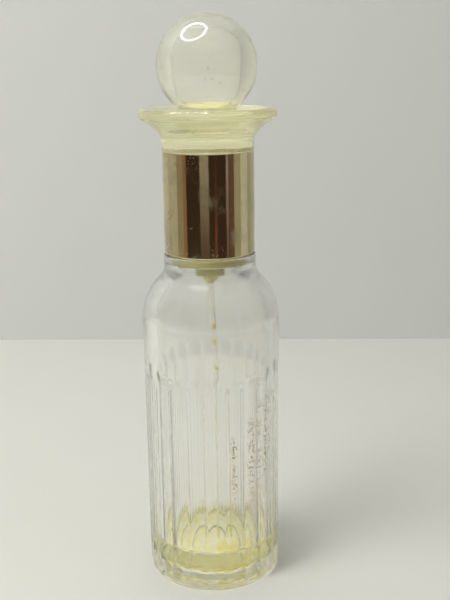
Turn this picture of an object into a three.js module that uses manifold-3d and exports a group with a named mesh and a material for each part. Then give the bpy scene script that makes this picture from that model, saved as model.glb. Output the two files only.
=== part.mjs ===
// A fluted glass aftershave bottle with a crimped spray pump and a lift-off cap: a clear flared
// collar and ball on a gilt metal sleeve.
// Millimetres, +Z up. The origin is the centre of the base, on the surface that the bottle stands on.
import * as THREE from "three";
import { mergeVertices } from "three/addons/utils/BufferGeometryUtils.js";
import Module from "manifold-3d";

// ---- Driving dimensions ----------------------------------------------------------------------

const SIDES = 36; // facets round a large turned piece
const SMALL_SIDES = 16; // facets round a small turned piece
const ARC_STEPS = 2; // chords in a quarter turn of a fillet
const FIT = 0.1; // gap between two pieces that touch on the real object
const LIFT = 0.05; // gap under a piece that rests on another

const glass = {
  radius: 20,
  heel: 2.6, // fillet round the base
  footInner: 11.4, // inner edge of the ring that the bottle stands on
  pushUp: 0.9, // how far the middle of the base is raised
  shoulderZ: 80, // where the straight wall ends
  shoulderArc: 17.2,
  hollowArc: 5, // hollow curve between the shoulder and the platform
  platformRadius: 13.25,
  platformZ: 99.2, // top of the rim round the recess
  recessRadius: 11.6, // ring-shaped recess that the collar's skirt stands in
  recessZ: 96.8,
  neckRadius: 9.0,
  beadRadius: 9.95, // 20 mm crimp finish
  beadZ: 105.2,
  rimZ: 108.7,
  boreRadius: 7.4,
  boreZ: 97.4, // where the bore starts to open into the body
  innerRadius: 16.2,
  innerFillet: 4.4,
  floorZ: 3.8,
};
const flutes = { count: 22, depth: 0.62, bottomZ: 0.3, startZ: 3.4, fade: 6, topZ: 68, turn: 3 };

const residue = { radius: 15.95, topZ: 10.9 };

const pump = {
  bodyRadius: 4.15,
  cylinderRadius: 3.25,
  flangeRadius: 9.2,
  flangeThickness: 1.0,
  stepZ: 94.0, // underside of the wide part of the housing
  tailRadius: 2.05,
  tailZ: 92.3,
  socketRadius: 1.25,
  socketZ: 90.4,
  springLedgeZ: 97.4,
};
const gasket = { inner: 4.5, outer: 9.3, thickness: 1.0 };
const seat = { radius: 0.45, z: 94.3, topRadius: 1.2, topZ: 95.05 }; // cone that the inlet ball rests on
const inletBall = { radius: 1.0, z: 95.34 };
const spring = { radius: 2.2, wire: 0.4, turns: 4.5, bottomZ: 97.45, topZ: 103.9 };
const poppet = { flange: 2.75, z: 104.0, thickness: 0.9, pinRadius: 0.5, pinTopZ: 107.6 };
const stem = { radius: 1.6, bore: 0.75, bottomZ: 105.0, topZ: 120.4 };
const piston = { bottomZ: 105.4, topZ: 108.1 };
const tube = { radius: 0.75, bore: 0.5, topZ: 93.0, bottomZ: 5.6, bow: 1.2, drift: 1.9 };

const ferrule = {
  wall: 0.4,
  outer: 10.65,
  crimpZ: 103.9,
  shoulderZ: 111.35,
  turretRadius: 6.2,
  turretZ: 113.0,
  stemHole: 2.3,
};
const collar = { inner: 10.8, outer: 11.3, bottomZ: 96.9, topZ: 112.1, lip: 6.8, wall: 0.5 };
const head = {
  radius: 7.0,
  shell: 0.4,
  bottomZ: 117.7,
  topZ: 125.4,
  nozzleZ: 122.6,
  nozzleRadius: 1.5,
  nozzleLength: 2.6,
  windowRadius: 2.1,
};

const sleeve = { outer: 13.0, wall: 0.6, bottomZ: 99.5, topZ: 128.4 };
const liner = { inner: 11.5, outer: 12.3, bottomZ: 100.3, topZ: 127.1, web: 0.9 };
const flare = {
  spigotZ: 127.2, // underside, on top of the liner
  ledgeZ: 128.5, // sits on the top edge of the sleeve
  throatRadius: 13.0,
  throatZ: 131.8,
  rimRadius: 19.5,
  rimRound: 1.7,
  rimZ: 138.5,
  dishRadius: 16.2,
  dishZ: 139.0,
  pegRadius: 6.85,
  pegZ: 142.5, // edge of the spigot's dished top
  pegDishZ: 141.2,
};
const ball = {
  radius: 14.0,
  z: 151.6,
  bore: 6.95,
  boreZ: 142.55, // where the bore opens into the hollow
  hollow: 9.5,
  hollowZ: 153.5, // widest height of the hollow
  domeZ: 161.9,
  footRadius: 8.1,
  footZ: 139.05,
};

// ---- Helpers ---------------------------------------------------------------------------------

const wasm = await Module();
wasm.setup();

// Points of an arc round (centreR, centreZ), from one angle to the other, both ends included.
function arc(centreR, centreZ, radius, from, to, steps) {
  return Array.from({ length: steps + 1 }, (_, i) => {
    const angle = from + ((to - from) * i) / steps;
    return [centreR + radius * Math.cos(angle), centreZ + radius * Math.sin(angle)];
  });
}

// A profile from corners [radius, height, fillet]. A corner with a fillet becomes a tangent arc.
function profile(corners) {
  const flat = corners.map(([r, z]) => new THREE.Vector2(r, z));
  return corners.flatMap(([, , fillet = 0], i) => {
    const corner = flat[i];
    if (!fillet) return [corner];
    const back = flat.at(i - 1).clone().sub(corner).normalize();
    const ahead = flat[(i + 1) % flat.length].clone().sub(corner).normalize();
    const half = Math.acos(back.dot(ahead)) / 2;
    const centre = back.clone().add(ahead).setLength(fillet / Math.sin(half)).add(corner);
    const start = back.setLength(fillet / Math.tan(half)).add(corner).sub(centre);
    const end = ahead.setLength(fillet / Math.tan(half)).add(corner).sub(centre);
    const turn = Math.atan2(start.cross(end), start.dot(end));
    const steps = Math.max(1, Math.round((Math.abs(turn) / (Math.PI / 2)) * ARC_STEPS));
    const origin = new THREE.Vector2();
    return Array.from({ length: steps + 1 }, (_, k) =>
      start.clone().rotateAround(origin, (turn * k) / steps).add(centre),
    );
  });
}

// Turns a profile about the Z axis. Corners run up the outside and down the inside, and the
// profile either starts and ends on the axis or is closed here.
function turned(corners, sides = SIDES) {
  const points = profile(corners);
  if (points[0].x > 0) points.push(points[0].clone());
  return new THREE.LatheGeometry(points, sides).rotateX(Math.PI / 2);
}

function solidOf(geometry) {
  const bare = geometry.clone();
  bare.deleteAttribute("normal");
  bare.deleteAttribute("uv");
  const merged = mergeVertices(bare, 1e-4);
  return new wasm.Manifold(
    new wasm.Mesh({
      numProp: 3,
      vertProperties: merged.attributes.position.array,
      triVerts: new Uint32Array(merged.index.array),
    }),
  );
}

function geometryOf(solid) {
  const mesh = solid.getMesh();
  const geometry = new THREE.BufferGeometry();
  geometry.setAttribute("position", new THREE.BufferAttribute(mesh.vertProperties, 3));
  geometry.setIndex(new THREE.BufferAttribute(mesh.triVerts, 1));
  geometry.computeVertexNormals();
  return geometry;
}

// A cylinder lying along -Y, the way the nozzle points, between two distances from the axis.
function crossCylinder(radius, start, end, z, sides = SMALL_SIDES) {
  const length = end - start;
  return new THREE.CylinderGeometry(radius, radius, length, sides).translate(0, -start - length / 2, z);
}

class Helix extends THREE.Curve {
  constructor(radius, bottom, top, turns) {
    super();
    Object.assign(this, { radius, bottom, top, turns });
  }
  getPoint(t, target = new THREE.Vector3()) {
    const angle = 2 * Math.PI * this.turns * t;
    const height = this.bottom + (this.top - this.bottom) * t;
    return target.set(this.radius * Math.cos(angle), this.radius * Math.sin(angle), height);
  }
}

// A round section extruded along a path, hollow where a bore is given.
function pipe(path, radius, bore, steps, sides) {
  const ring = (size) => arc(0, 0, size, 0, 2 * Math.PI, sides).slice(0, -1);
  const section = new THREE.Shape(ring(radius).map(([x, y]) => new THREE.Vector2(x, y)));
  if (bore) section.holes.push(new THREE.Path(ring(bore).map(([x, y]) => new THREE.Vector2(x, y))));
  return new THREE.ExtrudeGeometry(section, { steps, extrudePath: path, bevelEnabled: false });
}

// ---- Glass -----------------------------------------------------------------------------------

// How deep the flutes cut at an angle round the bottle and a height: shallow hollow channels that
// fade out upwards in an arch.
function fluteCut(angle, z) {
  const across = Math.abs((((angle / (2 * Math.PI)) * flutes.count) % 1) + 1) % 1; // 0.5 mid-flute
  const side = 2 * across - 1;
  const { smoothstep } = THREE.MathUtils;
  const arch = smoothstep(z + flutes.fade * 0.35 * side * side, flutes.topZ - flutes.fade, flutes.topZ);
  const foot = smoothstep(z, flutes.bottomZ, flutes.startZ);
  return foot * (1 - arch) * flutes.depth * (1 - side * side);
}

function glassBottle() {
  const g = glass;
  const shoulderR = g.radius - g.shoulderArc;
  const bend = Math.acos(
    (g.platformRadius + g.hollowArc - shoulderR) / (g.shoulderArc + g.hollowArc),
  );
  const hollowR = g.platformRadius + g.hollowArc;
  const hollowZ = g.shoulderZ + (g.shoulderArc + g.hollowArc) * Math.sin(bend);
  const endHeights = [4.5, 2.8, 1.4].map((below) => flutes.topZ - below);
  const innerArc = g.shoulderArc - (g.radius - g.innerRadius);
  const innerBend = THREE.MathUtils.degToRad(42);
  const inner = arc(shoulderR, g.shoulderZ, innerArc, innerBend, 0, 3);
  const throat = new THREE.CubicBezierCurve(
    new THREE.Vector2(g.boreRadius, g.boreZ),
    new THREE.Vector2(g.boreRadius, g.boreZ - 2.6),
    new THREE.Vector2(inner[0][0] - 2.6, inner[0][1] + 2.9),
    new THREE.Vector2(...inner[0]),
  );
  const corners = [
    [0, g.pushUp],
    [g.footInner - 1.2, g.pushUp],
    [g.footInner, 0],
    ...arc(g.radius - g.heel, g.heel, g.heel, -Math.PI / 2, 0, 3),
    [g.radius, flutes.startZ],
    [g.radius, flutes.topZ - flutes.fade - 1],
    ...endHeights.map((z) => [g.radius, z]),
    [g.radius, flutes.topZ],
    ...arc(shoulderR, g.shoulderZ, g.shoulderArc, 0, bend, 5),
    ...arc(hollowR, hollowZ, g.hollowArc, Math.PI + bend, Math.PI, 2).slice(1),
    [g.platformRadius, g.platformZ],
    [g.recessRadius, g.platformZ],
    [g.recessRadius, g.recessZ],
    [g.neckRadius, g.recessZ],
    [g.neckRadius, g.beadZ],
    [g.beadRadius, g.beadZ + 0.8],
    [g.beadRadius, g.rimZ, 0.7],
    [g.boreRadius, g.rimZ],
    ...throat.getPoints(4).map((p) => [p.x, p.y]),
    ...inner.slice(1),
    [g.innerRadius, g.floorZ, g.innerFillet],
    [0, g.floorZ],
  ];
  const geometry = turned(corners, flutes.count * 4);
  const at = geometry.attributes.position;
  for (let i = 0; i < at.count; i++) {
    const [x, y, z] = [at.getX(i), at.getY(i), at.getZ(i)];
    const r = Math.hypot(x, y);
    if (r < g.innerRadius + 1 || z > flutes.topZ) continue;
    const scale = 1 - fluteCut(Math.atan2(y, x), z) / r;
    at.setXY(i, x * scale, y * scale);
  }
  return geometry.rotateZ(THREE.MathUtils.degToRad(flutes.turn));
}

// ---- Liquid left in the bottle ---------------------------------------------------------------

// Where the dip tube's axis lies at a height.
function tubeX(z) {
  const down = (tube.topZ - z) / (tube.topZ - tube.bottomZ);
  return tube.bow * Math.sin(Math.PI * Math.min(1, down * 1.1)) + tube.drift * down * down;
}

function liquid() {
  const fillet = glass.innerFillet - FIT;
  const body = turned([
    [0, glass.floorZ + LIFT],
    [residue.radius, glass.floorZ + LIFT, fillet],
    [residue.radius, residue.topZ],
    [0, residue.topZ],
  ]);
  const around = new THREE.CylinderGeometry(1.1, 1.1, 7, SMALL_SIDES).rotateX(Math.PI / 2);
  around.translate(tubeX(tube.bottomZ + 3), 0, tube.bottomZ + 3.1);
  return geometryOf(solidOf(body).subtract(solidOf(around)));
}

// ---- Pump ------------------------------------------------------------------------------------

const gasketZ = glass.rimZ + LIFT;
const flangeZ = gasketZ + gasket.thickness + LIFT;
const flangeTopZ = flangeZ + pump.flangeThickness;

const neckGasket = () =>
  turned([
    [gasket.inner, gasketZ],
    [gasket.outer, gasketZ],
    [gasket.outer, gasketZ + gasket.thickness],
    [gasket.inner, gasketZ + gasket.thickness],
  ]);

const pumpHousing = () =>
  turned(
    [
      [tube.radius + 0.04, pump.socketZ],
      [pump.socketRadius, pump.socketZ],
      [pump.socketRadius, pump.tailZ],
      [pump.tailRadius, pump.tailZ],
      [pump.tailRadius, pump.stepZ],
      [pump.bodyRadius, pump.stepZ, 0.4],
      [pump.bodyRadius, flangeZ],
      [pump.flangeRadius, flangeZ],
      [pump.flangeRadius, flangeTopZ],
      [pump.cylinderRadius, flangeTopZ],
      [pump.cylinderRadius, pump.springLedgeZ],
      [0.9, pump.springLedgeZ],
      [0.9, pump.springLedgeZ - 0.25],
      [seat.topRadius, pump.springLedgeZ - 0.5],
      [seat.topRadius, seat.topZ],
      [seat.radius, seat.z],
      [seat.radius, tube.topZ + 0.15],
      [tube.radius + 0.04, tube.topZ + 0.15],
    ],
    24,
  );

const inletValve = () =>
  new THREE.SphereGeometry(inletBall.radius, 14, 9).translate(0, 0, inletBall.z);

const returnSpring = () =>
  pipe(
    new Helix(spring.radius, spring.bottomZ + spring.wire / 2, spring.topZ - spring.wire / 2, spring.turns),
    spring.wire / 2,
    0,
    spring.turns * 14,
    6,
  );

const outletPoppet = () =>
  turned(
    [
      [0, poppet.z],
      [poppet.flange, poppet.z],
      [poppet.flange, poppet.z + 0.4],
      [stem.radius, poppet.z + poppet.thickness],
      [poppet.pinRadius, poppet.z + poppet.thickness],
      [poppet.pinRadius, poppet.pinTopZ, 0.2],
      [0, poppet.pinTopZ],
    ],
    SMALL_SIDES,
  );

const pumpStem = () =>
  turned(
    [
      [stem.bore, stem.bottomZ],
      [stem.radius, stem.bottomZ],
      [stem.radius, stem.topZ, 0.2],
      [stem.bore, stem.topZ],
    ],
    SMALL_SIDES,
  );

const pistonSeal = () =>
  turned(
    [
      [stem.radius + FIT, piston.bottomZ],
      [2.5, piston.bottomZ],
      [2.75, piston.bottomZ + 0.7],
      [pump.cylinderRadius - 0.05, piston.bottomZ + 0.05],
      [pump.cylinderRadius - 0.05, piston.bottomZ + 0.7],
      [2.75, piston.bottomZ + 1.2],
      [2.75, piston.topZ - 0.7],
      [pump.cylinderRadius - 0.05, piston.topZ - 0.2],
      [pump.cylinderRadius - 0.05, piston.topZ],
      [stem.radius + FIT, piston.topZ],
    ],
    24,
  );

const stemGasket = () =>
  turned(
    [
      [stem.radius + FIT, piston.topZ + LIFT],
      [pump.cylinderRadius - FIT, piston.topZ + LIFT],
      [pump.cylinderRadius - FIT, piston.topZ + 0.75],
      [stem.radius + FIT, piston.topZ + 0.75],
    ],
    24,
  );

const stemGuide = () =>
  turned(
    [
      [stem.radius + 0.15, piston.topZ + 0.8],
      [pump.cylinderRadius - FIT, piston.topZ + 0.8],
      [pump.cylinderRadius - FIT, flangeTopZ + LIFT],
      [5.6, flangeTopZ + LIFT],
      [5.6, ferrule.turretZ - ferrule.wall - LIFT, 0.4],
      [stem.radius + 0.15, ferrule.turretZ - ferrule.wall - LIFT],
    ],
    24,
  );

const dipTube = () => {
  const heights = [0, 0.2, 0.4, 0.6, 0.8, 1].map((t) => THREE.MathUtils.lerp(tube.topZ, tube.bottomZ, t));
  const path = new THREE.CatmullRomCurve3([
    new THREE.Vector3(0, 0, tube.topZ),
    new THREE.Vector3(0, 0, pump.socketZ - 0.5),
    ...heights.slice(1).map((z) => new THREE.Vector3(tubeX(z), 0, z)),
  ]);
  return pipe(path, tube.radius, tube.bore, 18, 8);
};

// ---- Ferrule, collar and spray head ----------------------------------------------------------

const crimpFerrule = () => {
  const f = ferrule;
  return turned([
    [glass.neckRadius + 0.35, f.crimpZ],
    [f.outer - 0.5, f.crimpZ],
    [f.outer, f.crimpZ + 0.8],
    [f.outer, f.shoulderZ, 0.7],
    [f.turretRadius, f.shoulderZ],
    [f.turretRadius, f.turretZ, 0.7],
    [f.stemHole, f.turretZ],
    [f.stemHole, f.turretZ - f.wall],
    [f.turretRadius - f.wall, f.turretZ - f.wall, 0.4],
    [f.turretRadius - f.wall, f.shoulderZ - f.wall],
    [f.outer - f.wall, f.shoulderZ - f.wall, 0.4],
    [f.outer - f.wall, f.crimpZ + 1.3],
    [glass.neckRadius + 0.35, f.crimpZ + 0.5],
  ]);
};

const trimCollar = () => {
  const c = collar;
  return turned([
    [c.inner, c.bottomZ],
    [c.outer, c.bottomZ],
    [c.outer, c.topZ, 0.6],
    [c.lip, c.topZ],
    [c.lip, c.topZ - c.wall],
    [c.inner, c.topZ - c.wall],
  ]);
};

const nozzleEnd = head.radius - head.shell - 0.35;

function headCore() {
  const h = head;
  const inner = h.radius - h.shell - FIT;
  const body = turned([
    [stem.radius + 0.05, h.bottomZ],
    [inner, h.bottomZ],
    [inner, h.topZ - h.shell - FIT, 0.5],
    [0, h.topZ - h.shell - FIT],
    [0, h.nozzleZ],
    [0.5, h.nozzleZ],
    [0.5, stem.topZ + 0.1],
    [stem.radius + 0.05, stem.topZ + 0.1],
  ]);
  const pocket = crossCylinder(h.nozzleRadius + FIT, nozzleEnd - h.nozzleLength - FIT, h.radius, h.nozzleZ);
  const duct = crossCylinder(0.4, 0, nozzleEnd - 1, h.nozzleZ, 8);
  return geometryOf(solidOf(body).subtract(solidOf(pocket)).subtract(solidOf(duct)));
}

function headShell() {
  const h = head;
  const shell = turned([
    [h.radius - h.shell, h.bottomZ],
    [h.radius, h.bottomZ],
    [h.radius, h.topZ, 0.9],
    [4.6, h.topZ],
    [3.4, h.topZ - 0.35],
    [0, h.topZ - 0.35],
    [0, h.topZ - h.shell],
    [h.radius - h.shell, h.topZ - h.shell, 0.5],
  ]);
  const window = crossCylinder(h.windowRadius, 3, h.radius + 1, h.nozzleZ);
  return geometryOf(solidOf(shell).subtract(solidOf(window)));
}

function nozzle() {
  const h = head;
  const body = crossCylinder(h.nozzleRadius, nozzleEnd - h.nozzleLength, nozzleEnd, h.nozzleZ);
  const dimple = crossCylinder(0.7, nozzleEnd - 0.5, nozzleEnd + 1, h.nozzleZ, 12);
  const orifice = crossCylinder(0.25, nozzleEnd - h.nozzleLength - 1, nozzleEnd + 1, h.nozzleZ, 8);
  return geometryOf(solidOf(body).subtract(solidOf(dimple)).subtract(solidOf(orifice)));
}

// ---- Cap -------------------------------------------------------------------------------------

const capSleeve = () => {
  const s = sleeve;
  return turned([
    [s.outer - s.wall, s.bottomZ],
    [s.outer, s.bottomZ, 0.35],
    [s.outer, s.topZ],
    [s.outer - s.wall, s.topZ],
  ]);
};

const capLiner = () =>
  turned([
    [0, liner.topZ - liner.web],
    [liner.inner, liner.topZ - liner.web, 0.6],
    [liner.inner, liner.bottomZ],
    [liner.outer, liner.bottomZ],
    [liner.outer, liner.topZ],
    [0, liner.topZ],
  ]);

// The trumpet from the sleeve out to the rim, and the rim's round nose.
function flareCurve() {
  const { throatRadius, throatZ, rimRadius, rimRound, rimZ } = flare;
  const nose = arc(rimRadius - rimRound, rimZ, rimRound, -1.1, Math.PI / 2, 4);
  const bell = new THREE.CubicBezierCurve(
    new THREE.Vector2(throatRadius, throatZ - 1.5),
    new THREE.Vector2(throatRadius, throatZ + 2.2),
    new THREE.Vector2(throatRadius + 2.9, rimZ - 3.1),
    new THREE.Vector2(...nose[0]),
  );
  return [...bell.getPoints(6).map((p) => [p.x, p.y]), ...nose.slice(1)];
}

const capFlare = () => {
  const f = flare;
  return turned([
    [0, f.spigotZ],
    [liner.outer, f.spigotZ],
    [liner.outer, f.ledgeZ],
    [f.throatRadius, f.ledgeZ],
    ...flareCurve(),
    [f.dishRadius + 0.4, f.rimZ + f.rimRound],
    [f.dishRadius - 0.8, f.dishZ],
    [f.pegRadius, f.dishZ],
    [f.pegRadius, f.pegZ],
    [0.55 * f.pegRadius, f.pegDishZ + 0.35],
    [0, f.pegDishZ],
  ]);
};

const capBall = () => {
  const b = ball;
  const footAngle = -Math.acos((b.footRadius + 0.35) / b.radius);
  const outside = arc(0, b.z, b.radius, footAngle, Math.PI / 2, 11);
  const curve = (steps, ...points) =>
    new THREE.CubicBezierCurve(...points.map((p) => new THREE.Vector2(...p)))
      .getPoints(steps)
      .map((p) => [p.x, p.y]);
  const dome = [[0, b.domeZ], [5.2, b.domeZ], [b.hollow, b.domeZ - 2.7], [b.hollow, b.hollowZ]];
  const narrowing = [[b.hollow, b.hollowZ], [b.hollow, 147.2], [8.6, 144.2], [b.bore, b.boreZ]];
  return turned([
    [b.bore, b.footZ],
    [b.footRadius, b.footZ],
    ...outside.slice(0, -1),
    [0, b.z + b.radius],
    ...curve(5, ...dome),
    ...curve(4, ...narrowing).slice(1),
  ]);
};

// ---- Assembly --------------------------------------------------------------------------------

const material = (color, roughness, metalness = 0, opacity = 1) =>
  new THREE.MeshStandardMaterial({ color, roughness, metalness, opacity, transparent: opacity < 1 });

const clearGlass = material(0xe6ece4, 0.03, 0, 0.35);
const yellowedPlastic = material(0xe4dfae, 0.08, 0, 0.5);
const gilt = material(0xa89a6c, 0.18, 1);
const pumpPlastic = material(0xd8cf86, 0.4, 0, 0.8);
const tubePlastic = material(0xe6e2c4, 0.3, 0, 0.6);
const whitePlastic = material(0xe8e6dc, 0.5);
const rubber = material(0xdbd9cc, 0.8);
const steel = material(0xb8b8b4, 0.25, 1);
const scent = material(0xd6cc5a, 0.02, 0, 0.6);

const pieces = [
  ["glass_bottle", glassBottle, clearGlass],
  ["aftershave_residue", liquid, scent],
  ["neck_gasket", neckGasket, rubber],
  ["pump_housing", pumpHousing, pumpPlastic],
  ["inlet_ball", inletValve, steel],
  ["return_spring", returnSpring, steel],
  ["stem_guide", stemGuide, whitePlastic],
  ["stem_gasket", stemGasket, rubber],
  ["dip_tube", dipTube, tubePlastic],
  ["crimp_ferrule", crimpFerrule, gilt],
  ["trim_collar", trimCollar, gilt],
  ["pump_stem", pumpStem, whitePlastic],
  ["piston_seal", pistonSeal, whitePlastic],
  ["outlet_poppet", outletPoppet, whitePlastic],
  ["spray_head_core", headCore, whitePlastic],
  ["spray_head_shell", headShell, gilt],
  ["nozzle_insert", nozzle, whitePlastic],
  ["cap_sleeve", capSleeve, gilt],
  ["cap_liner", capLiner, whitePlastic],
  ["cap_flare", capFlare, yellowedPlastic],
  ["cap_ball", capBall, yellowedPlastic],
];

const bottle = new THREE.Group();
for (const [name, shape, finish] of pieces) {
  const piece = new THREE.Mesh(shape(), finish);
  piece.name = name;
  bottle.add(piece);
}

export default bottle;
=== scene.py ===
"""A fluted glass aftershave bottle, nearly empty, with a spray pump and a lift-off ball cap.

Sizes are in millimetres until they reach a mesh. Z is up, and the bottle's front faces -Y.
"""

import math

import bmesh
import bpy
from mathutils import Matrix, Vector


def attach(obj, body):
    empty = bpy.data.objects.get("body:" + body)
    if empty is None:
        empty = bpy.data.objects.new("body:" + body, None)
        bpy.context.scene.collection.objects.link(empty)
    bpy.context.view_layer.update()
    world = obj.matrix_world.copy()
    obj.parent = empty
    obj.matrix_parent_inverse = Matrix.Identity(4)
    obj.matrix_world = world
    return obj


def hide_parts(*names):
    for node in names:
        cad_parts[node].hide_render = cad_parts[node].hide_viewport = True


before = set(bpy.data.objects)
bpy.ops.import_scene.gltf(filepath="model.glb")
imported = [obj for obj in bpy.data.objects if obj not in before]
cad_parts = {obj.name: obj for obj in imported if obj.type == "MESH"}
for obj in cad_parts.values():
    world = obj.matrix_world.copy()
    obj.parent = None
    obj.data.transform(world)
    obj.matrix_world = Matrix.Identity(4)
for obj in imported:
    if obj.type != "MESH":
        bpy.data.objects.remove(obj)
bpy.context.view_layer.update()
scene = bpy.context.scene
MM = 0.001
TURN = 2 * math.pi

# ---- Camera ----------------------------------------------------------------------------------

cam_data = bpy.data.cameras.new("camera")
cam_data.lens, cam_data.sensor_width = 54.24, 36
cam_data.clip_start, cam_data.clip_end = 0.01, 20
camera = bpy.data.objects.new("camera", cam_data)
scene.collection.objects.link(camera)
camera.matrix_world = (
    Matrix.Translation(Vector((4.2, -256.9, 152.2)) * MM)
    @ Matrix.Rotation(math.radians(90 - 14.7), 4, "X")
    @ Matrix.Rotation(math.radians(-0.78), 4, "Z")
)
scene.camera = camera

# ---- Shapes ----------------------------------------------------------------------------------


def arc(centre_r, centre_z, radius, start, end, steps):
    """Points of an arc from one angle to the other, both ends included."""
    angles = [start + (end - start) * i / steps for i in range(steps + 1)]
    return [(centre_r + radius * math.cos(a), centre_z + radius * math.sin(a)) for a in angles]


def bezier(a, b, c, d, steps):
    """Points of a cubic curve, both ends included."""
    a, b, c, d = (Vector(p) for p in (a, b, c, d))
    ts = [i / steps for i in range(steps + 1)]
    curve = [(1 - t) ** 3 * a + 3 * (1 - t) ** 2 * t * b + 3 * (1 - t) * t * t * c + t**3 * d for t in ts]
    return [tuple(p) for p in curve]


def rise(r, low, high, step):
    """Points straight up at radius r."""
    count = max(1, math.ceil(abs(high - low) / step))
    return [(r, low + (high - low) * i / count) for i in range(count + 1)]


def rounded(corners):
    """Corners (r, z, fillet) as points, with an arc where a fillet is given. A long straight run
    also gets a point close to each of its ends, which keeps it looking straight."""
    out = []
    for i, corner in enumerate(corners):
        here = Vector(corner[:2])
        if len(corner) < 3:
            out.append(here)
            continue
        back = (Vector(corners[i - 1][:2]) - here).normalized()
        ahead = (Vector(corners[(i + 1) % len(corners)][:2]) - here).normalized()
        half = back.angle(ahead) / 2
        centre = here + (back + ahead).normalized() * corner[2] / math.sin(half)
        start = here + back * corner[2] / math.tan(half) - centre
        end = here + ahead * corner[2] / math.tan(half) - centre
        turn = math.atan2(start.x * end.y - start.y * end.x, start.dot(end))
        steps = max(2, round(abs(turn) / math.radians(11)))
        out += [centre + Matrix.Rotation(turn * k / steps, 2) @ start for k in range(steps + 1)]
    points = []
    for here, ahead in zip(out, [*out[1:], None]):
        points.append(here)
        if ahead and (ahead - here).length > 1.2:
            step = (ahead - here).normalized() * 0.12
            points += [here + step, ahead - step]
    return points


def make_piece(name, mesh, body, material, nodes=(), sharp=35):
    mesh.shade_smooth()
    mesh.set_sharp_from_angle(angle=math.radians(sharp))
    mesh.materials.clear()
    mesh.materials.append(material)
    piece = bpy.data.objects.new(name, mesh)
    scene.collection.objects.link(piece)
    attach(piece, body)
    if nodes:
        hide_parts(*nodes)
    # Light passes through the clear pieces.
    inputs = material.node_tree.nodes["Principled BSDF"].inputs
    piece.visible_shadow = inputs["Transmission Weight"].default_value < 0.5
    return piece


def turned_mesh(name, corners, sides=96, warp=None, shift=None):
    """Corners turned about Z. They run up the outside and down the inside, and the loop is closed
    where it doesn't start on the axis. warp(r, z, angle) gives a point's radius, and shift(z) moves
    a ring along X."""
    points = rounded(corners)
    mesh = bmesh.new()
    rings = []
    for r, z in points:
        dx = shift(z) if shift else 0
        if r < 1e-6:
            rings.append([mesh.verts.new(Vector((dx, 0, z)) * MM)])
            continue
        ring = []
        for k in range(sides):
            angle = TURN * k / sides
            radius = warp(r, z, angle) if warp else r
            spot = Vector((radius * math.cos(angle) + dx, radius * math.sin(angle), z))
            ring.append(mesh.verts.new(spot * MM))
        rings.append(ring)
    pairs = list(zip(rings, rings[1:]))
    if len(rings[0]) > 1:
        pairs.append((rings[-1], rings[0]))
    for low, high in pairs:
        for k in range(sides):
            n = (k + 1) % sides
            if len(low) == 1 and len(high) == 1:
                continue
            if len(low) == 1:
                mesh.faces.new((low[0], high[n], high[k]))
            elif len(high) == 1:
                mesh.faces.new((low[k], low[n], high[0]))
            else:
                mesh.faces.new((low[k], low[n], high[n], high[k]))
    made = bpy.data.meshes.new(name)
    mesh.to_mesh(made)
    mesh.free()
    return made


def cut(mesh, *cutters):
    """mesh with the cutters' shapes taken out of it."""
    holder = bpy.data.objects.new("cut", mesh)
    scene.collection.objects.link(holder)
    tools = []
    for cutter in cutters:
        tool = bpy.data.objects.new("cutter", cutter)
        scene.collection.objects.link(tool)
        modifier = holder.modifiers.new("cut", "BOOLEAN")
        modifier.operation, modifier.object = "DIFFERENCE", tool
        tools.append(tool)
    graph = bpy.context.evaluated_depsgraph_get()
    made = bpy.data.meshes.new_from_object(holder.evaluated_get(graph))
    made.name = mesh.name
    for thing in (holder, *tools):
        bpy.data.objects.remove(thing)
    return made


def towards_front(mesh, z):
    """A mesh turned about Z is laid so that its axis points along -Y at height z."""
    mesh.transform(Matrix.Translation(Vector((0, 0, z)) * MM) @ Matrix.Rotation(math.pi / 2, 4, "X"))
    return mesh


# ---- Materials -------------------------------------------------------------------------------


def add(tree, kind, inputs=None, **settings):
    """A shader node with its settings and inputs. An input is a value, or a socket to link from."""
    made = tree.nodes.new("ShaderNode" + kind)
    for key, value in settings.items():
        setattr(made, key, value)
    for key, value in (inputs or {}).items():
        if isinstance(value, bpy.types.NodeSocket):
            tree.links.new(value, made.inputs[key])
        else:
            made.inputs[key].default_value = value
    return made


def math_of(tree, operation, *values, clamp=False):
    return add(tree, "Math", dict(enumerate(values)), operation=operation, use_clamp=clamp).outputs[0]


def noise(tree, where, scale, detail=2.0, roughness=0.5):
    inputs = {"Vector": where, "Scale": scale, "Detail": detail, "Roughness": roughness}
    return add(tree, "TexNoise", inputs).outputs["Fac"]


def between(tree, value, low, high, to_low=0.0, to_high=1.0):
    """value taken from low..high to to_low..to_high, with soft ends."""
    inputs = {"Value": value, "From Min": low, "From Max": high, "To Min": to_low, "To Max": to_high}
    return add(tree, "MapRange", inputs, interpolation_type="SMOOTHSTEP").outputs[0]


def blend(tree, share, first, second):
    made = add(tree, "Mix", {0: share}, data_type="RGBA")
    for socket, value in ((made.inputs[6], first), (made.inputs[7], second)):
        if isinstance(value, bpy.types.NodeSocket):
            tree.links.new(value, socket)
        else:
            socket.default_value = (*value, 1)
    return made.outputs[2]


def shader(name, absorb=None, **constants):
    """A material with a Principled shader. Returns it, its tree, its shader and object coordinates."""
    material = bpy.data.materials.new(name)
    material.use_nodes = True
    tree = material.node_tree
    principled = tree.nodes["Principled BSDF"]
    for key, value in constants.items():
        socket = principled.inputs[key.replace("_", " ")]
        socket.default_value = (*value, 1) if isinstance(value, tuple) else value
    if absorb:
        colour, density = absorb
        volume = add(tree, "VolumeAbsorption", {"Color": (*colour, 1), "Density": density})
        tree.links.new(volume.outputs[0], tree.nodes["Material Output"].inputs["Volume"])
    return material, tree, principled, add(tree, "TexCoord").outputs["Object"]


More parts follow.
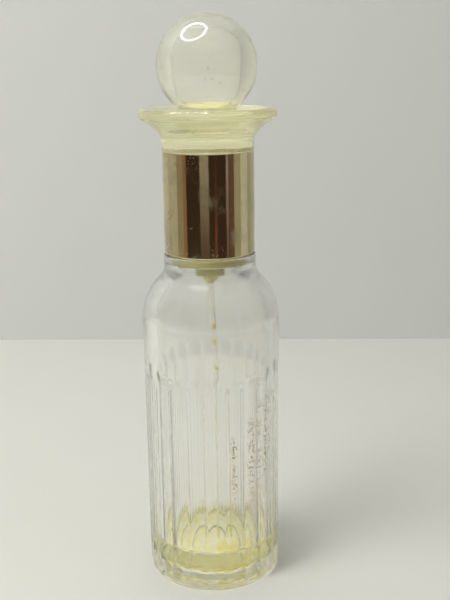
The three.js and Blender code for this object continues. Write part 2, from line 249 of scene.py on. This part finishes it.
def set_bump(tree, principled, height, strength, distance_mm):
    inputs = {"Height": height, "Strength": strength, "Distance": distance_mm * MM}
    tree.links.new(add(tree, "Bump", inputs).outputs[0], principled.inputs["Normal"])


FLUTES, FLUTE_DEPTH, FLUTE_TURN = 22, 0.62, math.radians(3)


def dried_residue(tree, where, x, y, z):
    """Where the glass carries grains of dried residue, and where it is stained. The grains stand in
    rows in the middle of some flutes, right of the front."""
    angle = math_of(tree, "ARCTAN2", x, math_of(tree, "MULTIPLY", y, -1.0))
    across = math_of(tree, "MULTIPLY", math_of(tree, "SUBTRACT", angle, FLUTE_TURN), FLUTES / TURN)
    middle = math_of(tree, "ROUND", across)
    off_middle = math_of(tree, "ABSOLUTE", math_of(tree, "SUBTRACT", across, middle))
    column = between(tree, off_middle, 0.07, 0.20, 1.0, 0.0)
    sector = math_of(
        tree, "MULTIPLY",
        between(tree, angle, math.radians(12), math.radians(16)),
        between(tree, angle, math.radians(74), math.radians(78), 1.0, 0.0),
    )
    top = between(tree, angle, math.radians(15), math.radians(60), 0.050, 0.0615)
    band = math_of(
        tree, "MULTIPLY",
        between(tree, math_of(tree, "SUBTRACT", z, top), -0.004, 0.0, 1.0, 0.0),
        between(tree, z, 0.022, 0.040),
    )
    place = math_of(tree, "MULTIPLY", math_of(tree, "MULTIPLY", column, sector), band)
    grain = add(tree, "TexVoronoi", {"Vector": where, "Scale": 1500.0}).outputs["Distance"]
    keep = noise(tree, where, 420.0, 1.0)
    grains = math_of(
        tree, "MULTIPLY", between(tree, grain, 0.34, 0.47, 1.0, 0.0), between(tree, keep, 0.36, 0.44)
    )
    speck = math_of(tree, "MULTIPLY", place, grains, clamp=True)
    stain_place = math_of(tree, "MULTIPLY", sector, between(tree, z, 0.028, 0.045, 1.0, 0.35))
    blotch = between(tree, noise(tree, where, 160.0, 3.0), 0.42, 0.75, 0.0, 0.8)
    return speck, math_of(tree, "MULTIPLY", stain_place, blotch)


def make_glass():
    material, tree, principled, where = shader(
        "bottle_glass", Transmission_Weight=1.0, IOR=1.52, Roughness=0.0,
        absorb=((0.90, 0.95, 0.86), 2.5),
    )
    x, y, z = add(tree, "SeparateXYZ", {0: where}).outputs
    speck, stain = dried_residue(tree, where, x, y, z)
    stretch = add(tree, "Mapping", {"Vector": where, "Scale": (1.0, 1.0, 0.05)}).outputs[0]
    streak = between(tree, noise(tree, stretch, 420.0, 3.0, 0.6), 0.48, 0.78, 0.0, 0.8)
    colour = blend(tree, streak, (0.99, 0.99, 0.98), (0.955, 0.925, 0.86))
    colour = blend(tree, stain, colour, (0.93, 0.83, 0.66))
    # The liquid's colour gathers in patches in the thick foot.
    low = between(tree, z, 0.005, 0.0115, 1.0, 0.0)
    patch = math_of(tree, "MULTIPLY", low, between(tree, noise(tree, where, 210.0, 3.0), 0.47, 0.62))
    colour = blend(tree, patch, colour, (0.97, 0.92, 0.56))
    colour = blend(tree, speck, colour, (0.24, 0.13, 0.04))
    tree.links.new(colour, principled.inputs["Base Color"])
    # Dust dulls the glass, the most at the neck and where the grains are.
    dust = between(tree, noise(tree, where, 90.0, 4.0, 0.6), 0.35, 0.85, 0.075, 0.15)
    dust = math_of(tree, "ADD", dust, between(tree, z, 0.086, 0.095, 0.0, 0.12))
    rough = math_of(tree, "ADD", dust, math_of(tree, "MULTIPLY", speck, 0.5))
    tree.links.new(rough, principled.inputs["Roughness"])
    # The wall is a little wavy, and the foot is more uneven.
    uneven = between(tree, z, 0.009, 0.019, 0.8, 0.0)
    ripple = math_of(tree, "MULTIPLY", uneven, noise(tree, where, 300.0, 2.0, 0.6))
    wave = math_of(tree, "ADD", noise(tree, where, 55.0, 1.5), ripple)
    set_bump(tree, principled, wave, 0.35, 0.35)
    return material


def make_liquid():
    material, tree, principled, where = shader(
        "yellow_liquid", Transmission_Weight=1.0, IOR=1.36, absorb=((0.98, 0.94, 0.20), 14.0)
    )
    tint = between(tree, noise(tree, where, 240.0, 3.0), 0.42, 0.62)
    tree.links.new(blend(tree, tint, (1, 1, 0.97), (0.97, 0.94, 0.62)), principled.inputs["Base Color"])
    rough = between(tree, noise(tree, where, 400.0), 0.5, 0.8, 0.0, 0.04)
    tree.links.new(rough, principled.inputs["Roughness"])
    return material


def make_clear_plastic(name, colour, density, clear, tint, dull, wavy):
    """Yellowed clear plastic. It is a little cloudy: only the clear share of it lets light through.
    dull is its least roughness, and wavy is how uneven its surface is."""
    material, tree, principled, where = shader(
        name, Transmission_Weight=clear, IOR=1.49, absorb=(colour, density)
    )
    haze = between(tree, noise(tree, where, 70.0, 3.0, 0.6), 0.35, 0.75)
    scuffs = add(tree, "TexNoise", {"Vector": where, "Scale": 1400.0, "Detail": 2.0, "Distortion": 2.5})
    scuff = between(tree, scuffs.outputs["Fac"], 0.64, 0.74)
    spots = add(tree, "TexVoronoi", {"Vector": where, "Scale": 620.0}).outputs["Distance"]
    kept = between(tree, noise(tree, where, 130.0, 2.0), 0.60, 0.68)
    grime = math_of(tree, "MULTIPLY", between(tree, spots, 0.12, 0.30, 1.0, 0.0), kept)
    shade = blend(tree, haze, tint, tuple(0.97 * v for v in tint))
    shade = blend(tree, math_of(tree, "MULTIPLY", grime, 0.7), shade, (0.42, 0.32, 0.24))
    tree.links.new(shade, principled.inputs["Base Color"])
    rough = between(tree, haze, 0, 1, dull, dull * 1.8)
    rough = math_of(tree, "ADD", rough, math_of(tree, "MULTIPLY", scuff, 0.05))
    tree.links.new(rough, principled.inputs["Roughness"])
    set_bump(tree, principled, noise(tree, where, 60.0, 1.0), wavy, 0.12)
    return material


def make_gilt(name="gilt_metal", painted_shade=0.0):
    """Polished gilt metal with worn, tarnished patches. The second argument is the share of a darker,
    yellower tone, painted on as shade for a part that sits in shade.
    """
    material, tree, principled, where = shader(name, Metallic=1.0, Roughness=0.1)
    stretch = add(tree, "Mapping", {"Vector": where, "Scale": (1.0, 1.0, 0.06)}).outputs[0]
    streak = between(tree, noise(tree, stretch, 900.0, 3.0, 0.7), 0.3, 0.75)
    cloud = between(tree, noise(tree, where, 110.0, 4.0, 0.65), 0.45, 0.75)
    spots = add(tree, "TexVoronoi", {"Vector": where, "Scale": 1500.0}).outputs["Distance"]
    kept = between(tree, noise(tree, where, 140.0, 2.0), 0.52, 0.68)
    speck = math_of(tree, "MULTIPLY", between(tree, spots, 0.14, 0.28, 1.0, 0.0), kept)
    colour = blend(tree, streak, (0.64, 0.56, 0.335), (0.58, 0.50, 0.29))
    colour = blend(tree, math_of(tree, "MULTIPLY", cloud, 0.85), colour, (0.47, 0.43, 0.27))
    colour = blend(tree, math_of(tree, "MULTIPLY", speck, 0.8), colour, (0.16, 0.12, 0.06))
    # Tarnish follows the edges of irregular patches.
    edge = math_of(tree, "ABSOLUTE", math_of(tree, "SUBTRACT", noise(tree, where, 190.0, 5.0, 0.65), 0.56))
    patch = between(tree, noise(tree, where, 75.0, 2.0), 0.50, 0.60)
    tarnish = math_of(tree, "MULTIPLY", between(tree, edge, 0.006, 0.022, 0.75, 0.0), patch)
    colour = blend(tree, tarnish, colour, (0.26, 0.21, 0.11))
    # Painted shade: a share of a darker, yellower tone, for a copy of the gilt that sits in shade.
    colour = blend(tree, painted_shade, colour, (0.36, 0.33, 0.04))
    tree.links.new(colour, principled.inputs["Base Color"])
    rough = between(tree, cloud, 0, 1, 0.07, 0.24)
    rough = math_of(tree, "ADD", rough, math_of(tree, "MULTIPLY", speck, 0.4))
    rough = math_of(tree, "ADD", rough, math_of(tree, "MULTIPLY", tarnish, 0.25))
    tree.links.new(rough, principled.inputs["Roughness"])
    relief = math_of(tree, "ADD", streak, math_of(tree, "MULTIPLY", speck, -2.0))
    set_bump(tree, principled, relief, 0.25, 0.01)
    return material


def make_moulded(name, colour, dark, rough, transmission=0.0, ior=1.5):
    """Moulded plastic or rubber with a fine grain and an uneven shade."""
    material, tree, principled, where = shader(name, Transmission_Weight=transmission, IOR=ior)
    shade = between(tree, noise(tree, where, 220.0, 4.0, 0.6), 0.3, 0.75)
    tree.links.new(blend(tree, shade, colour, dark), principled.inputs["Base Color"])
    grain = noise(tree, where, 2600.0, 2.0)
    uneven = between(tree, grain, 0.2, 0.8, rough * 0.8, rough * 1.25)
    tree.links.new(uneven, principled.inputs["Roughness"])
    set_bump(tree, principled, grain, 0.2, 0.02)
    return material


def make_steel():
    material, tree, principled, where = shader("steel", Metallic=1.0)
    scratch = between(tree, noise(tree, where, 1800.0, 3.0), 0.3, 0.8)
    colour = blend(tree, scratch, (0.66, 0.66, 0.65), (0.5, 0.5, 0.49))
    tree.links.new(colour, principled.inputs["Base Color"])
    tree.links.new(between(tree, scratch, 0, 1, 0.14, 0.34), principled.inputs["Roughness"])
    return material


glass = make_glass()
liquid = make_liquid()
ball_plastic = make_clear_plastic(
    "ball_plastic", (0.97, 0.94, 0.40), 20.0, clear=0.91, tint=(0.998, 0.996, 0.98), dull=0.055, wavy=0.12
)
flare_plastic = make_clear_plastic(
    "flare_plastic", (0.985, 0.955, 0.34), 15.0, clear=0.80, tint=(1.0, 0.985, 0.80), dull=0.05, wavy=0.6
)
gilt = make_gilt()
# The collar's gilt is painted darker and yellower, as painted shade for its place in the recess under the
# sleeve.
collar_gilt_painted_shade = make_gilt("collar_gilt_painted_shade", 0.6)
pump_plastic = make_moulded("aged_pump_plastic", (0.98, 0.92, 0.44), (0.94, 0.85, 0.34), 0.25, 0.2)
tube_plastic = make_moulded("tube_plastic", (0.985, 0.98, 0.92), (0.97, 0.96, 0.86), 0.06, 0.88, 1.3)
drop_liquid = make_moulded("drop_liquid", (0.90, 0.84, 0.28), (0.82, 0.74, 0.20), 0.05, 0.5, 1.36)
white_plastic = make_moulded("white_plastic", (0.80, 0.79, 0.74), (0.72, 0.70, 0.62), 0.38)
aged_liner = make_moulded("liner_plastic", (0.95, 0.93, 0.78), (0.90, 0.87, 0.68), 0.35)
rubber = make_moulded("gasket_rubber", (0.86, 0.85, 0.80), (0.80, 0.79, 0.72), 0.6)
steel = make_steel()

# ---- Glass bottle ----------------------------------------------------------------------------

BODY_R, HEEL, SHOULDER_Z, SHOULDER_ARC, HOLLOW_ARC = 20.0, 2.6, 80.0, 17.2, 5.0
LEDGE_R, LEDGE_Z, NECK_R, BEAD_R, BORE_R, BORE_Z, RIM_Z = 13.25, 99.2, 9.0, 9.95, 7.4, 97.4, 108.7
INNER_R, INNER_FILLET, FLOOR_Z = 16.2, 4.4, 3.8
FLUTE_LOW, FLUTE_FULL, FLUTE_TOP, FLUTE_FADE = 0.3, 3.4, 68.0, 6.0
RECESS_R, RECESS_Z = 11.6, 96.8


def smoothstep(value, low, high):
    t = min(1, max(0, (value - low) / (high - low)))
    return t * t * (3 - 2 * t)


def fluted(r, z, angle):
    """The outer wall's radius: shallow hollow channels between soft ridges, fading out in an arch."""
    if r < INNER_R + 1 or z > FLUTE_TOP:
        return r
    across = ((angle - FLUTE_TURN) * FLUTES / TURN) % 1
    side = 2 * across - 1
    hollow = 1 - math.sqrt(side * side + 0.04) / math.sqrt(1.04)
    hollow = hollow * (2 - hollow) / 0.964
    fade = 1 - smoothstep(z + FLUTE_FADE * 0.35 * side * side, FLUTE_TOP - FLUTE_FADE, FLUTE_TOP)
    return r - smoothstep(z, FLUTE_LOW, FLUTE_FULL) * fade * FLUTE_DEPTH * hollow


def glass_corners():
    shoulder_r = BODY_R - SHOULDER_ARC
    bend = math.acos((LEDGE_R + HOLLOW_ARC - shoulder_r) / (SHOULDER_ARC + HOLLOW_ARC))
    hollow_r = LEDGE_R + HOLLOW_ARC
    hollow_z = SHOULDER_Z + (SHOULDER_ARC + HOLLOW_ARC) * math.sin(bend)
    inner_arc = SHOULDER_ARC - (BODY_R - INNER_R)
    inner = arc(shoulder_r, SHOULDER_Z, inner_arc, math.radians(42), 0, 14)
    throat = bezier(
        (BORE_R, BORE_Z), (BORE_R, BORE_Z - 2.6), (inner[0][0] - 2.6, inner[0][1] + 2.9), inner[0], 14
    )
    return [
        (0, 0.9), (9.8, 0.9, 1.5), (11.4, 0, 0.8),
        *arc(BODY_R - HEEL, HEEL, HEEL, -math.pi / 2, 0, 14),
        *rise(BODY_R, HEEL + 0.2, FLUTE_FULL + 0.4, 0.2),
        *rise(BODY_R, 8, 56, 5),
        *rise(BODY_R, 57, FLUTE_TOP, 0.35),
        *rise(BODY_R, 68, 78, 4),
        *arc(shoulder_r, SHOULDER_Z, SHOULDER_ARC, 0, bend, 26),
        *arc(hollow_r, hollow_z, HOLLOW_ARC, math.pi + bend, math.pi, 8)[1:],
        (LEDGE_R, LEDGE_Z, 0.6), (RECESS_R, LEDGE_Z, 0.6), (RECESS_R, RECESS_Z, 0.5),
        (NECK_R, RECESS_Z, 0.8), (NECK_R, 105.2, 0.5),
        (BEAD_R, 106.0, 0.4), (BEAD_R, RIM_Z, 0.7), (BORE_R, RIM_Z, 0.4),
        *throat, *inner[1:],
        *rise(INNER_R, 76, 12, 8),
        (INNER_R, FLOOR_Z, INNER_FILLET), (8, FLOOR_Z - 0.15), (0, FLOOR_Z - 0.3),
    ]


make_piece(
    "bottle_glass_body",
    turned_mesh("bottle_glass_body", glass_corners(), FLUTES * 16, fluted),
    "bottle", glass, ["glass_bottle"], sharp=50,
)

# The liquid reaches a hair into the glass, so that no film of air shows between them.
LIQUID_Z = 10.9
make_piece(
    "aftershave_left",
    turned_mesh(
        "aftershave_left",
        [
            (0, FLOOR_Z - 0.33), (8, FLOOR_Z - 0.18), (INNER_R + 0.03, FLOOR_Z - 0.03, INNER_FILLET),
            (INNER_R + 0.03, LIQUID_Z + 1.5),
            *bezier(
                (INNER_R - 0.1, LIQUID_Z + 1.5), (INNER_R - 0.3, LIQUID_Z + 0.4),
                (INNER_R - 1.4, LIQUID_Z), (INNER_R - 3.4, LIQUID_Z), 10,
            ),
            (0, LIQUID_Z),
        ],
        176,
    ),
    "bottle", liquid, ["aftershave_residue"], sharp=60,
)

# ---- Pump ------------------------------------------------------------------------------------

TUBE_TOP, TUBE_LOW, TUBE_R, TUBE_BORE = 93.0, 5.6, 0.75, 0.5


def tube_x(z):
    down = (TUBE_TOP - z) / (TUBE_TOP - TUBE_LOW)
    return 1.2 * math.sin(math.pi * min(1, down * 1.1)) + 1.9 * down * down


make_piece(
    "dip_tube_clear",
    turned_mesh(
        "dip_tube_clear",
        [*rise(TUBE_R, TUBE_LOW, TUBE_TOP, 2), *rise(TUBE_BORE, TUBE_TOP, TUBE_LOW, 2)],
        28, shift=tube_x,
    ),
    "bottle", tube_plastic, ["dip_tube"],
)
for number, (low, high) in enumerate(((76.2, 77.6), (71.9, 73.0), (63.9, 64.5))):
    mesh = turned_mesh(
        f"tube_drop_{number}",
        [
            (0, low + 0.15), (0.4, low), (0.51, low - 0.15), (0.51, high + 0.15), (0.4, high),
            (0, high - 0.15),
        ],
        20, shift=tube_x,
    )
    make_piece(f"tube_drop_{number}", mesh, "bottle", drop_liquid)

GASKET_Z = RIM_Z + 0.05
FLANGE_Z = GASKET_Z + 1.05
FLANGE_TOP = FLANGE_Z + 1.0
CYLINDER_R, LEDGE_IN = 3.25, 97.4

make_piece(
    "pump_housing_moulding",
    turned_mesh(
        "pump_housing_moulding",
        [
            (0.8, 90.4), (1.25, 90.4, 0.15), (1.25, 92.3, 0.15), (2.05, 92.3, 0.25), (2.05, 94.0, 0.2),
            (4.15, 94.0, 0.4), (4.15, FLANGE_Z, 0.2), (9.2, FLANGE_Z, 0.15), (9.2, FLANGE_TOP, 0.15),
            (CYLINDER_R, FLANGE_TOP), (CYLINDER_R, LEDGE_IN), (0.9, LEDGE_IN), (0.9, LEDGE_IN - 0.25),
            (1.2, LEDGE_IN - 0.5), (1.2, 95.05), (0.45, 94.3), (0.45, 93.15), (0.8, 93.15),
        ],
        72,
    ),
    "bottle", pump_plastic, ["pump_housing"],
)
make_piece(
    "pump_stem_tube",
    turned_mesh("pump_stem_tube", [(0.75, 105.0), (1.6, 105.0), (1.6, 120.4, 0.2), (0.75, 120.4)], 48),
    "pump_plunger", white_plastic, ["pump_stem"],
)

# ---- Ferrule and collar ----------------------------------------------------------------------

make_piece(
    "ferrule_crimped",
    turned_mesh(
        "ferrule_crimped",
        [
            (9.35, 103.9, 0.15), (10.15, 103.9, 0.3), (10.65, 104.7, 0.6), (10.65, 111.35, 0.7),
            (6.2, 111.35, 0.3), (6.2, 113.0, 0.7), (2.3, 113.0, 0.15), (2.3, 112.6),
            (5.8, 112.6, 0.4), (5.8, 110.95, 0.3), (10.25, 110.95, 0.4), (10.25, 105.2), (9.35, 104.4),
        ],
        120,
    ),
    "bottle", gilt, ["crimp_ferrule"],
)
make_piece(
    "collar_drawn",
    turned_mesh(
        "collar_drawn",
        [
            (10.8, 96.9), (11.3, 96.9, 0.2), (11.3, 112.1, 0.6), (6.8, 112.1, 0.15),
            (6.8, 111.6), (10.8, 111.6, 0.3),
        ],
        128,
    ),
    "bottle", collar_gilt_painted_shade, ["trim_collar"],
)

# ---- Spray head ------------------------------------------------------------------------------

HEAD_R, HEAD_LOW, HEAD_TOP, NOZZLE_Z = 7.0, 117.7, 125.4, 122.6
NOZZLE_END = HEAD_R - 0.4 - 0.35


def bar(radius, start, end, z):
    """A round bar along -Y between two distances from the axis."""
    return towards_front(turned_mesh("bar", [(0, start), (radius, start), (radius, end), (0, end)], 40), z)


shell = cut(
    turned_mesh(
        "head_shell_drawn",
        [
            (6.6, HEAD_LOW), (HEAD_R, HEAD_LOW, 0.15), (HEAD_R, HEAD_TOP, 0.9), (4.6, HEAD_TOP, 0.5),
            (3.4, HEAD_TOP - 0.35, 1.2), (0, HEAD_TOP - 0.35), (0, HEAD_TOP - 0.4),
            (6.6, HEAD_TOP - 0.4, 0.5),
        ],
        112,
    ),
    bar(2.1, 3, 9, NOZZLE_Z),
)
make_piece("head_shell_drawn", shell, "spray_head", gilt, ["spray_head_shell"])
core = cut(
    turned_mesh(
        "head_core_moulded",
        [
            (1.65, HEAD_LOW), (6.5, HEAD_LOW, 0.2), (6.5, HEAD_TOP - 0.5, 0.5), (0, HEAD_TOP - 0.5),
            (0, NOZZLE_Z), (0.5, NOZZLE_Z), (0.5, 120.5), (1.65, 120.5),
        ],
        96,
    ),
    bar(1.6, NOZZLE_END - 2.7, 8, NOZZLE_Z),
)
make_piece("head_core_moulded", core, "spray_head", white_plastic, ["spray_head_core"])
insert = towards_front(
    turned_mesh(
        "nozzle_moulded",
        [
            (0.25, NOZZLE_END - 2.6), (1.5, NOZZLE_END - 2.6), (1.5, NOZZLE_END, 0.2),
            (0.95, NOZZLE_END, 0.15), (0.6, NOZZLE_END - 0.5), (0.25, NOZZLE_END - 0.5),
        ],
        56,
    ),
    NOZZLE_Z,
)
make_piece("nozzle_moulded", insert, "spray_head", white_plastic, ["nozzle_insert"])

# ---- Cap -------------------------------------------------------------------------------------

make_piece(
    "sleeve_drawn",
    turned_mesh(
        "sleeve_drawn",
        [(12.4, 99.5, 0.1), (13.0, 99.5, 0.35), (13.0, 128.4, 0.12), (12.4, 128.4)],
        192,
    ),
    "cap", gilt, ["cap_sleeve"],
)
make_piece(
    "liner_moulded",
    turned_mesh(
        "liner_moulded",
        [
            (0, 126.2), (11.5, 126.2, 0.6), (11.5, 100.3, 0.3), (12.3, 100.3),
            (12.3, 127.1), (0, 127.1),
        ],
        128,
    ),
    "cap", aged_liner, ["cap_liner"],
)

# The ball's hollow is a rounded barrel, closed below by the dished top of the flare's spigot.
VOID_R, VOID_TOP, VOID_LOW, VOID_FOOT_R = 9.5, 161.9, 142.6, 6.85
void = [
    *bezier((0, VOID_TOP), (5.2, VOID_TOP), (VOID_R, 159.2), (VOID_R, 153.5), 24),
    *bezier((VOID_R, 153.5), (VOID_R, 147.2), (8.6, 144.2), (VOID_FOOT_R - 0.1, VOID_LOW - 0.1), 24)[1:],
]
nose = arc(19.5 - 1.7, 138.5, 1.7, -1.1, math.pi / 2, 18)
bell = bezier((13.0, 130.3), (13.0, 134.0), (15.9, 135.4), nose[0], 24)
make_piece(
    "flare_moulded",
    turned_mesh(
        "flare_moulded",
        [
            (0, 127.2), (12.3, 127.2, 0.3), (12.3, 128.5), (13.0, 128.5, 0.15), *bell, *nose[1:],
            (16.6, 140.2, 0.9), (15.4, 139.0, 0.8), (VOID_FOOT_R, 139.0, 0.1),
            *bezier((VOID_FOOT_R, 142.6), (5.0, 141.5), (2.5, 141.2), (0, 141.2), 12),
        ],
        192,
    ),
    "cap", flare_plastic, ["cap_flare"],
)

# The ball is bonded to the flare, so the two meet with no film of air between them.
BALL_R, BALL_Z = 14.0, 151.6
foot_angle = -math.acos((8.1 + 0.35) / BALL_R)
make_piece(
    "ball_moulded",
    turned_mesh(
        "ball_moulded",
        [
            (VOID_FOOT_R - 0.1, 138.97), (8.1, 138.97, 0.1),
            *arc(0, BALL_Z, BALL_R, foot_angle, math.pi / 2, 64)[:-1],
            (0, BALL_Z + BALL_R), *void,
        ],
        160,
    ),
    "cap", ball_plastic, ["cap_ball"],
)

# ---- CAD nodes that keep their shape -----------------------------------------------------------

for node, material in {
    "neck_gasket": rubber, "stem_gasket": rubber, "inlet_ball": steel, "return_spring": steel,
    "stem_guide": white_plastic, "piston_seal": white_plastic, "outlet_poppet": white_plastic,
}.items():
    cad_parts[node].data.materials.clear()
    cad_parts[node].data.materials.append(material)

# ---- Room and light --------------------------------------------------------------------------


def sheet(name, corners, material):
    """One flat face of the room."""
    mesh = bpy.data.meshes.new(name)
    mesh.from_pydata([Vector(c) * MM for c in corners], [], [tuple(range(len(corners)))])
    mesh.materials.append(material)
    made = bpy.data.objects.new(name, mesh)
    scene.collection.objects.link(made)
    return made


def make_matt(name, colour, dark, one_sided=False):
    """Matt paint with a fine grain. One-sided paint is clear from behind."""
    material, tree, principled, where = shader(name, Roughness=0.75, Specular_IOR_Level=0.2)
    cloud = between(tree, noise(tree, where, 6.0, 3.0), 0.3, 0.7)
    tree.links.new(blend(tree, cloud, colour, dark), principled.inputs["Base Color"])
    set_bump(tree, principled, noise(tree, where, 900.0, 3.0), 0.1, 0.05)
    if one_sided:
        behind = add(tree, "NewGeometry").outputs["Backfacing"]
        clear = add(tree, "BsdfTransparent")
        mix = add(tree, "MixShader", {0: behind, 1: principled.outputs[0], 2: clear.outputs[0]})
        tree.links.new(mix.outputs[0], tree.nodes["Material Output"].inputs["Surface"])
    return material


table_paint = make_matt("table_paint", (0.86, 0.86, 0.805), (0.84, 0.84, 0.785))
wall_paint = make_matt("wall_paint", (0.69, 0.695, 0.67), (0.67, 0.675, 0.65), one_sided=True)
sheet("table", [(-3000, -3000, 0), (3000, -3000, 0), (3000, 3000, 0), (-3000, 3000, 0)], table_paint)
WALL_Y, WALL_HALF = 235.6, 2500
recede = WALL_HALF * math.tan(math.radians(2.1))  # the wall's left end lies further back
sheet(
    "wall",
    [
        (-WALL_HALF, WALL_Y + recede, -20), (WALL_HALF, WALL_Y - recede, -20),
        (WALL_HALF, WALL_Y - recede, 2500), (-WALL_HALF, WALL_Y + recede, 2500),
    ],
    wall_paint,
)

world = bpy.data.worlds.new("world")
scene.world = world
world.use_nodes = True
world.node_tree.nodes["Background"].inputs["Color"].default_value = (0.985, 0.995, 0.975, 1)
world.node_tree.nodes["Background"].inputs["Strength"].default_value = 0.45


def soft_lamp(name, place, size, power):
    """A round lamp that points at the bottle and isn't seen itself."""
    data = bpy.data.lights.new(name, "AREA")
    data.shape, data.size, data.energy, data.color = "DISK", size * MM, power, (1.0, 0.99, 0.96)
    lamp = bpy.data.objects.new(name, data)
    place = Vector(place)
    aim = (Vector((0, 0, 40)) - place).to_track_quat("-Z", "Y")
    lamp.matrix_world = Matrix.Translation(place * MM) @ aim.to_matrix().to_4x4()
    lamp.visible_glossy = lamp.visible_transmission = False
    scene.collection.objects.link(lamp)


soft_lamp("key", (-400, -240, 620), 420, 2.28)
soft_lamp("fill", (-430, -430, 270), 420, 0.76)


def shade_strip(name, low, high, share):
    """A strip that only casts a shadow: the glass shades the table on the side away from the lamp.
    share is how much of the light it stops."""
    radius, steps = BODY_R - 0.8, 16
    around = [math.radians(-35 + 8 * k) for k in range(steps + 1)]
    spots = [(radius * math.cos(a), radius * math.sin(a)) for a in around]
    mesh = bpy.data.meshes.new(name)
    mesh.from_pydata(
        [Vector((x, y, z)) * MM for z in (low, high) for x, y in spots], [],
        [(k, k + 1, k + 2 + steps, k + 1 + steps) for k in range(steps)],
    )
    material, tree, principled, where = shader(name)
    clear = add(tree, "BsdfTransparent")
    mix = add(tree, "MixShader", {0: share, 1: clear.outputs[0], 2: principled.outputs[0]})
    tree.links.new(mix.outputs[0], tree.nodes["Material Output"].inputs["Surface"])
    mesh.materials.append(material)
    made = bpy.data.objects.new(name, mesh)
    scene.collection.objects.link(made)
    made.visible_camera = made.visible_diffuse = made.visible_glossy = False
    made.visible_transmission = made.visible_volume_scatter = False


shade_strip("foot_shade", 0.5, 24, 1.0)
shade_strip("body_shade", 24, 95, 0.6)


def glow(name, colour, colour_low=None, low=0.0, high=1.0, strength=1.0):
    """A plain light of one colour, or of two that blend from height low to height high in mm."""
    material = bpy.data.materials.new(name)
    material.use_nodes = True
    tree = material.node_tree
    tree.nodes.clear()
    z = add(tree, "SeparateXYZ", {0: add(tree, "TexCoord").outputs["Object"]}).outputs[2]
    shade = blend(tree, between(tree, z, low * MM, high * MM), colour_low or colour, colour)
    emission = add(tree, "Emission", {"Color": shade, "Strength": strength})
    output = add(tree, "OutputMaterial")
    tree.links.new(emission.outputs[0], output.inputs["Surface"])
    return material


def place_mirrored(name, mesh, material):
    """An object of the room that is seen only in reflections."""
    mesh.materials.append(material)
    made = bpy.data.objects.new(name, mesh)
    scene.collection.objects.link(made)
    made.visible_camera = made.visible_diffuse = made.visible_transmission = False
    made.visible_shadow = made.visible_volume_scatter = False
    return made


def place_disc(name, inner, outer, z, thickness, sides, material):
    """A level disc or ring about Z, seen only in reflections."""
    corners = [(inner, z), (outer, z), (outer, z + thickness), (inner, z + thickness)]
    return place_mirrored(name, turned_mesh(name, corners, sides), material)


def make_ceiling_light():
    """Brightest in the middle of the ceiling, with a soft fall to its edge."""
    material = glow("ceiling_light", (1.0, 0.98, 0.90))
    tree = material.node_tree
    spot = add(tree, "TexCoord").outputs["Generated"]
    off = add(tree, "VectorMath", {0: spot, 1: (0.5, 0.5, 0.5)}, operation="DISTANCE").outputs["Value"]
    strength = between(tree, off, 0.0, 0.5, 4.5, 0.6)
    tree.links.new(strength, tree.nodes["Emission"].inputs["Strength"])
    return material


# A ring lamp above the cap, to the left.
RING_R, RING_TUBE, RING_PLACE, RING_AIM = 34, 3.0, (-31, -17, BALL_Z + 83.5), (-0.35, -0.08, 0.933)
ring_mesh = turned_mesh("ring_lamp", arc(RING_R, 0, RING_TUBE, 0, TURN * 15 / 16, 15), 64)
ring_mesh.transform(Vector(RING_AIM).to_track_quat("Z", "Y").to_matrix().to_4x4())
ring_mesh.transform(Matrix.Translation(Vector(RING_PLACE) * MM))
place_mirrored("ring_lamp", ring_mesh, glow("ring_light", (1.0, 0.99, 0.96), strength=20.0))

# A pale ceiling, seen only in the glass and the plastic.
ceiling = place_disc("ceiling", 0, 1000, 620, 2, 48, make_ceiling_light())
ceiling.visible_transmission = True

# A flag keeps the ring lamp's reflection off the glass shoulder.
place_disc("flag", 22, 50, BALL_Z - 1.4, 0.4, 64, glow("flag_tone", (0.52, 0.52, 0.50)))


def card(name, start, end, colour, colour_low=None, distance=420, low=-120, high=420):
    """A strip of the room in front of the bottle, between two directions in degrees right of the
    front. It is seen only in reflections."""
    steps = max(2, round((end - start) / 4))
    angles = [math.radians(start + (end - start) * k / steps) for k in range(steps + 1)]
    spots = [(math.sin(a) * distance, -math.cos(a) * distance) for a in angles]
    mesh = bpy.data.meshes.new(name)
    mesh.from_pydata(
        [Vector((x, y, z)) * MM for z in (low, high) for x, y in spots], [],
        [(k, k + 1, k + 2 + steps, k + 1 + steps) for k in range(steps)],
    )
    place_mirrored(name, mesh, glow(name, colour, colour_low, 5, 95))


card("room_dark", -56, 52, (0.05, 0.031, 0.023))
card("room_amber", -66, -56, (0.30, 0.18, 0.11))
card("room_left", -84, -66, (0.34, 0.29, 0.215))
card("room_edge", -118, -84, (0.52, 0.51, 0.46))
card("room_dim", 52, 66, (0.14, 0.095, 0.075))
card("room_right", 66, 86, (0.40, 0.37, 0.30))
card("room_bright", 86, 112, (0.60, 0.61, 0.57))
card("room_pale", -21, 1, (0.36, 0.33, 0.28), (0.10, 0.06, 0.05), distance=414)
card("room_red", 15, 21, (0.06, 0.035, 0.026), (0.20, 0.07, 0.055), distance=414)
card("room_line", 44, 50, (0.38, 0.29, 0.31), (0.19, 0.11, 0.10), distance=414)

scene.view_settings.view_transform = "Standard"
scene.cycles.max_bounces = 24
scene.cycles.transmission_bounces = 24
scene.cycles.glossy_bounces = 8
scene.cycles.caustics_reflective = False
scene.cycles.transparent_max_bounces = 12
